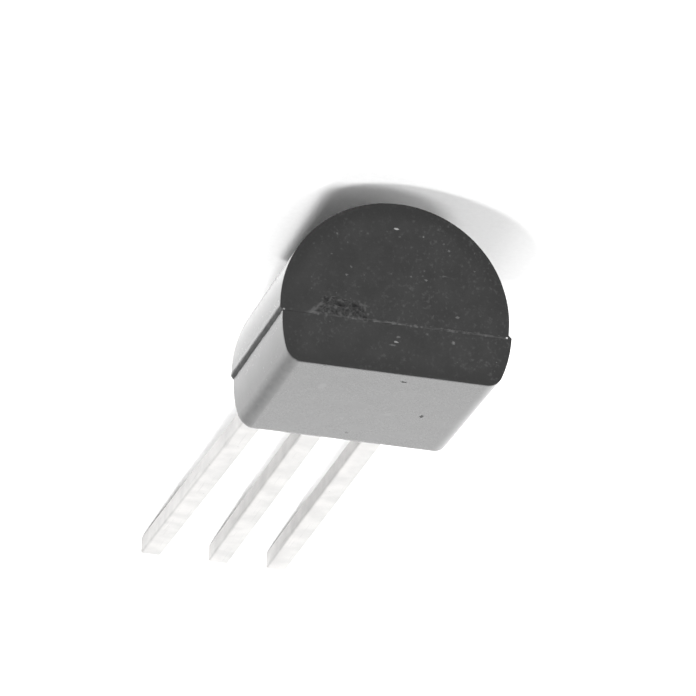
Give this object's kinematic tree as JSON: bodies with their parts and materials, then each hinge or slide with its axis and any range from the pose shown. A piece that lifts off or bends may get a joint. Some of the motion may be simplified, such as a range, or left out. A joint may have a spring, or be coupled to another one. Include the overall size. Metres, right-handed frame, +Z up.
{
  "type": "transistor",
  "caption": "Small signal transistor in a D-shaped moulded package with three in-line leads, lying on its round back.",
  "frame": {"origin": "on the surface the part lies on, under the middle of the whole part's box", "axes": "+Z up, the way the marking flat faces; +Y along the leads, from the body to the lead tips; +X across the leads, from the base lead to the emitter lead. The package is tipped 9.6 degrees about X, lead tips down, as it lies"},
  "size_m": [0.0046, 0.0174, 0.0042],
  "materials": {
    "moulding_compound": "black epoxy moulding compound with a fine eroded satin texture",
    "tin_plate": "matte tin plate over the stamped lead strip",
    "silicon": "polished silicon with a passivated face",
    "silver_epoxy": "cured silver-filled epoxy",
    "bond_wire": "drawn gold wire"
  },
  "bodies": {
    "root": {"moulded_body": "moulding_compound", "emitter_lead": "tin_plate", "collector_lead": "tin_plate", "base_lead": "tin_plate", "die": "silicon", "die_attach": "silver_epoxy", "emitter_wire": "bond_wire", "base_wire": "bond_wire"}
  },
  "joints": []
}
